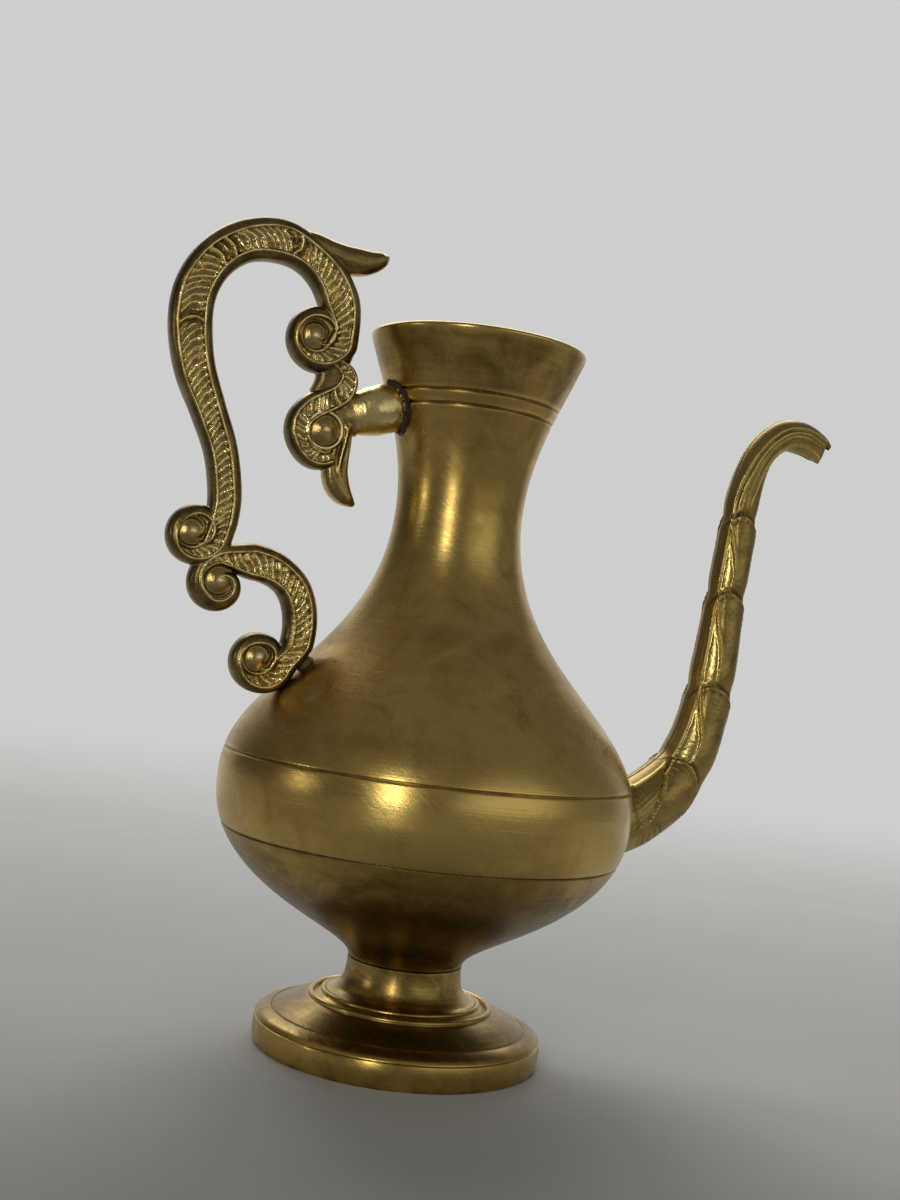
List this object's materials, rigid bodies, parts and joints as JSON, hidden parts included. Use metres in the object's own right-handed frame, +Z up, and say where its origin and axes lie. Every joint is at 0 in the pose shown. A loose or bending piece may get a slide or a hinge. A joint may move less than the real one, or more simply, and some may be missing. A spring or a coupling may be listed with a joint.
{
  "type": "brass coffee pot",
  "caption": "Footed brass ewer with a round belly, waisted neck and open flared mouth, a cast scroll handle and a tall S-shaped spout with chased leaves",
  "frame": {"origin": "centre of the foot's underside, on the surface the pot stands on", "axes": "+Z up along the body's axis, +X towards the spout, -X towards the handle; handle and spout lie in the plane y = 0"},
  "size_m": [0.1907, 0.103, 0.1963],
  "materials": {
    "turned_brass": "spun and turned, buffed by hand, tarnished to olive brown",
    "cast_brass": "cast and chased, dark in the recesses, worn bright on the ribs",
    "filed_brass": "filed and polished",
    "hard_solder": "rough, dark run of hard solder"
  },
  "bodies": {
    "root": {"foot": "turned_brass", "foot_braze": "hard_solder", "lower_bowl": "turned_brass", "body_seam_braze": "hard_solder", "upper_body": "turned_brass", "scroll_handle": "cast_brass", "neck_strut": "filed_brass", "neck_solder": "hard_solder", "shoulder_peg": "filed_brass", "peg_solder": "hard_solder", "spout_near_shell": "cast_brass", "spout_far_shell": "cast_brass", "spout_seam_solder": "hard_solder", "spout_root_solder": "hard_solder"}
  },
  "joints": []
}
